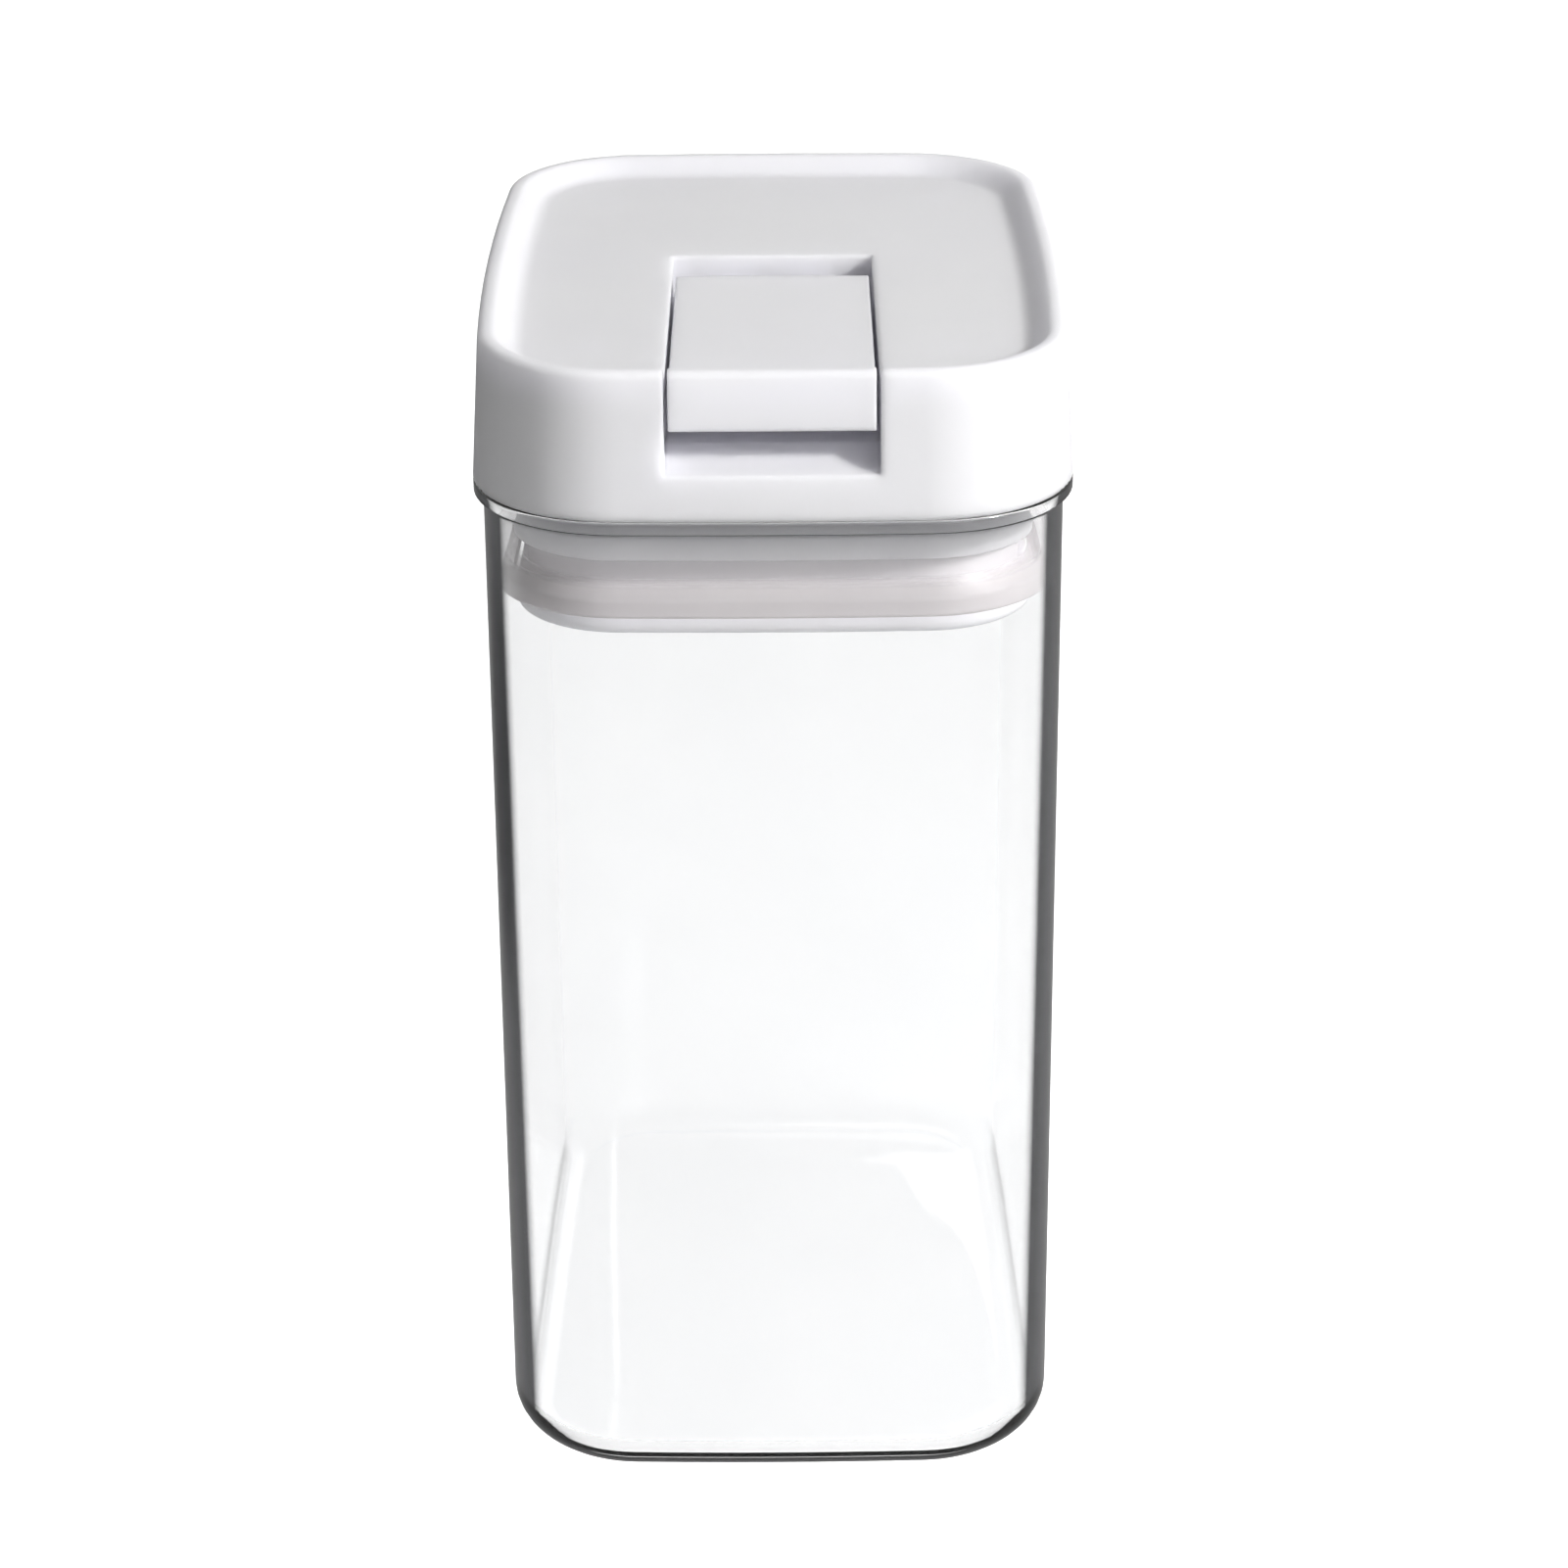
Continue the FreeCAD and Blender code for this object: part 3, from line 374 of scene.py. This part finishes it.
def plain_steel():
    """Stainless steel with faint drawn lines."""
    material, tree, shader, _ = new_material("drawn_steel")
    place = put(tree, "ShaderNodeTexCoord").outputs["Object"]
    stretched = put(tree, "ShaderNodeMapping", {"Vector": place, "Scale": (300.0, 9000.0, 9000.0)})
    lines = put(tree, "ShaderNodeTexNoise", {
        "Vector": stretched.outputs["Vector"], "Scale": 1.0, "Detail": 2.0,
    })
    drawn = tinted(tree, lines.outputs["Fac"], (0.58, 0.58, 0.59), (0.74, 0.74, 0.75))
    tree.links.new(drawn, shader.inputs["Base Color"])
    rough = put(tree, "ShaderNodeMapRange", {"Value": lines.outputs["Fac"], "To Min": 0.24, "To Max": 0.36})
    tree.links.new(rough.outputs["Result"], shader.inputs["Roughness"])
    shader.inputs["Metallic"].default_value = 1.0
    return material


WHITE_LOW, WHITE_HIGH = (0.875, 0.868, 0.93), (0.895, 0.888, 0.95)
CAP_WHITE = satin_plastic("white_cap_moulding", WHITE_LOW, WHITE_HIGH, 0.42, 2600.0, 1.3 * MM)
WHITE = satin_plastic("white_moulding", WHITE_LOW, WHITE_HIGH, 0.42, 2600.0, 0.4 * MM)
NYLON = satin_plastic("grey_nylon_moulding", (0.52, 0.52, 0.53), (0.60, 0.60, 0.61), 0.46, 1500.0, 0.2 * MM)
CLEAR = clear_plastic()
SILICONE = milky_silicone()
STEEL = plain_steel()


# Canister, the clear shell

canister = ring_shell("canister_shell", eased([
    (FLOOR_RIM_INSET, 0.0, 0),
    (FOOT_INSET, 0.0, FOOT_ROUND),
    (NECK_INSET, FLANGE_UNDER, NECK_ROUND),
    (0.0, FLANGE_UNDER, 0.25),
    (0.0, FLANGE_TOP, FLANGE_ROUND),
    (MOUTH_INSET, FLANGE_TOP, 0.4),
    (BORE_FOOT_INSET, FLOOR_TOP, BORE_FOOT_ROUND),
    (FLOOR_RIM_INSET, FLOOR_TOP, 0),
], closed=False), closed=False)
dress(canister, CLEAR)
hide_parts("canister")
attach(canister, "canister")


# Gasket, a flared skirt that the seal plate squeezes

gasket = ring_shell("gasket_skirt", eased([
    (LIP_INSET, GASKET_FOOT, 0.7),
    (LIP_INSET, GASKET_LIP, 2.4),
    (FLARE_INSET, GASKET_TOP, 0.5),
    (COLLAR_INSET, GASKET_TOP, 0.3),
    (COLLAR_INSET, GASKET_TOP - 1.48, 0.4),
    (LIP_BACK_INSET + 0.2, GASKET_LIP + 0.2, 1.4),
    (LIP_BACK_INSET, GASKET_FOOT, 0.6),
], closed=True), closed=True)
dress(gasket, SILICONE)
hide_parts("gasket")
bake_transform(gasket)


# White lid pieces and the working parts keep their solids

dress(nodes["lid_cap"], CAP_WHITE)
for name in ("inner_lid", "seal_plate", "flip_lever", "screw_cover"):
    dress(nodes[name], WHITE)
dress(nodes["rod_ring"], SILICONE)
dress(nodes["pull_rod"], NYLON)
for name in ("cam_wear_plate", "lever_pin", "rod_washer", "rod_screw", "lid_screws"):
    dress(nodes[name], STEEL)


# Studio

LID_MIDDLE = Vector((0, 0, 0.19))
KEY_FROM, KEY_DISTANCE = Vector((1.316, -0.9, 1.0)).normalized(), 1.6


def studio_paper():
    """White paper that glows so it looks evenly lit and sends little light up, with painted shade: darker
    where mirrored in the clear shell and dimmer where seen through it.
    """
    material, tree, shader, _ = new_material("pale_paper")
    grain = put(tree, "ShaderNodeGroup", node_tree=GRAIN)
    grain.inputs["Grain Scale"].default_value = 400.0
    grain.inputs["Low"].default_value = 0.0
    paper = tinted(tree, grain.outputs["Tone"], (0.90, 0.90, 0.90), (0.92, 0.92, 0.92))
    path = put(tree, "ShaderNodeLightPath")
    # Painted shade: the paper is darker in reflections, and its glow is dimmer through the clear shell, which
    # darkens the shell's walls and edges.
    mirrored = put(tree, "ShaderNodeMath", {
        0: path.outputs["Is Glossy Ray"], 1: path.outputs["Is Transmission Ray"],
    }, operation="SUBTRACT", use_clamp=True)
    unseen = put(tree, "ShaderNodeMath", {
        0: path.outputs["Is Diffuse Ray"], 1: mirrored.outputs["Value"],
    }, operation="MAXIMUM").outputs["Value"]
    dimmed = put(tree, "ShaderNodeMix", {"Factor": unseen}, data_type="RGBA")
    tree.links.new(paper, dimmed.inputs["A"])
    dimmed.inputs["B"].default_value = (0.45, 0.45, 0.45, 1.0)
    tree.links.new(dimmed.outputs["Result"], shader.inputs["Base Color"])
    seen = put(tree, "ShaderNodeMapRange", {
        "Value": path.outputs["Is Transmission Ray"], "To Min": 0.72, "To Max": 0.32,
    })
    glow = put(tree, "ShaderNodeMapRange", {
        "Value": unseen, "To Min": seen.outputs["Result"], "To Max": 0.0,
    })
    shader.inputs["Roughness"].default_value = 0.9
    shader.inputs["Specular IOR Level"].default_value = 0.0
    shader.inputs["Emission Color"].default_value = (1.0, 1.0, 1.0, 1.0)
    tree.links.new(glow.outputs["Result"], shader.inputs["Emission Strength"])
    return material


def add_light(name, place, size, power):
    data = bpy.data.lights.new(name, "AREA")
    data.shape = "DISK"
    data.size = size
    data.energy = power
    lamp = bpy.data.objects.new(name, data)
    lamp.location = place
    lamp.rotation_euler = (LID_MIDDLE - Vector(place)).to_track_quat("-Z", "Y").to_euler()
    bpy.context.scene.collection.objects.link(lamp)
    return lamp


def studio_air():
    """Soft light all round: white where it is looked at, dimmer towards the left as a light."""
    world = bpy.data.worlds.new("studio_air")
    world.use_nodes = True
    tree = world.node_tree
    tree.nodes.clear()
    toward = put(tree, "ShaderNodeTexCoord").outputs["Generated"]
    sideways = put(tree, "ShaderNodeSeparateXYZ", {"Vector": toward}).outputs["X"]
    soft = put(tree, "ShaderNodeMapRange", {
        "Value": sideways, "From Min": -0.8, "From Max": 0.8, "To Min": 0.06, "To Max": 0.42,
    })
    path = put(tree, "ShaderNodeLightPath")
    seen = put(tree, "ShaderNodeMapRange", {
        "Value": path.outputs["Is Glossy Ray"], "To Min": 1.0, "To Max": 0.75,
    })
    strength = put(tree, "ShaderNodeMix", {"Factor": path.outputs["Is Diffuse Ray"]}, data_type="FLOAT")
    tree.links.new(seen.outputs["Result"], strength.inputs["A"])
    tree.links.new(soft.outputs["Result"], strength.inputs["B"])
    sky = put(tree, "ShaderNodeBackground", {"Color": (1.0, 1.0, 1.0, 1.0)})
    tree.links.new(strength.outputs["Result"], sky.inputs["Strength"])
    end = put(tree, "ShaderNodeOutputWorld")
    tree.links.new(sky.outputs["Background"], end.inputs["Surface"])
    return world


FLOOR_HALF, FLOOR_DROP = 3.0, 0.2 * MM
floor_mesh = bpy.data.meshes.new("floor")
floor_mesh.from_pydata(
    [(x * FLOOR_HALF, y * FLOOR_HALF, -FLOOR_DROP) for x, y in ((-1, -1), (1, -1), (1, 1), (-1, 1))],
    [], [(0, 1, 2, 3)],
)
floor_mesh.materials.append(studio_paper())
floor = bpy.data.objects.new("floor", floor_mesh)
bpy.context.scene.collection.objects.link(floor)

bpy.context.scene.world = studio_air()
add_light("key_light", LID_MIDDLE + KEY_FROM * KEY_DISTANCE, 0.18, 24.0)
add_light("front_fill", (0.7, -1.5, 0.35), 1.0, 3.4)
add_light("top_fill", (0.3, -0.3, 1.9), 1.2, 0.8)
back_fill = add_light("back_fill", (0.4, 1.6, 0.5), 1.0, 2.4)
back_fill.visible_glossy = False

# The camera stands where the photograph was taken from
CAMERA_STAND = Vector((2.4962, -690.58, 409.75)) * MM
CAMERA_AIM = Vector((1.6296, 0.0, 142.25)) * MM
CAMERA_ROLL = -0.0067079
camera_data = bpy.data.cameras.new("photo_camera")
camera_data.sensor_width = 36.0
camera_data.lens = 94.65
camera_data.shift_y = -0.1212
camera_data.clip_start = 0.01
camera = bpy.data.objects.new("photo_camera", camera_data)
forward = (CAMERA_AIM - CAMERA_STAND).normalized()
right = forward.cross(Vector((0, 0, 1))).normalized()
upward = right.cross(forward)
across = right * math.cos(CAMERA_ROLL) + upward * math.sin(CAMERA_ROLL)
upright = upward * math.cos(CAMERA_ROLL) - right * math.sin(CAMERA_ROLL)
turn = Matrix((across, upright, -forward)).transposed().to_4x4()
camera.matrix_world = Matrix.Translation(CAMERA_STAND) @ turn
bpy.context.scene.collection.objects.link(camera)
bpy.context.scene.camera = camera
bpy.context.scene.view_settings.view_transform = "Standard"
